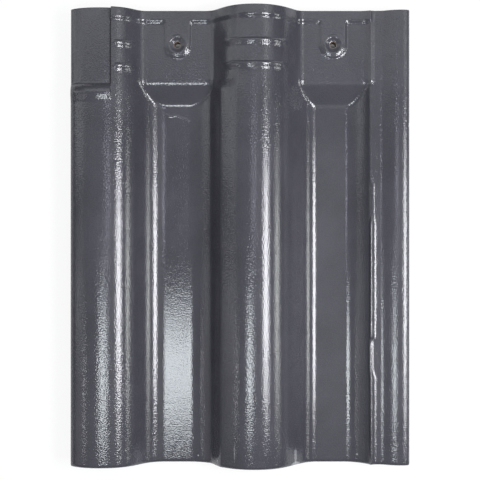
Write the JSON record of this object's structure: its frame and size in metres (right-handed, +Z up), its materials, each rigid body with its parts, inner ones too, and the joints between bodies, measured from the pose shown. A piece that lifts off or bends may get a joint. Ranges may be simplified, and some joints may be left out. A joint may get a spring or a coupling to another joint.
{
  "type": "clay roof tile",
  "caption": "Glazed interlocking clay roof tile with wavy pans and rolls, a cover flap and side lock, head panels with nail holes, and nibs that hook on a batten.",
  "frame": {"origin": "on the floor that the pans lie on, under the middle of the tile", "axes": "+X across the tile to the side lock, +Y up the slope to the head, +Z up out of the glazed face"},
  "size_m": [0.297, 0.4, 0.0474],
  "materials": {
    "glazed_clay": "dark grey gloss glaze with a fine orange-peel texture over a fired clay body"
  },
  "bodies": {
    "root": {"roof_tile": "glazed_clay"}
  },
  "joints": []
}
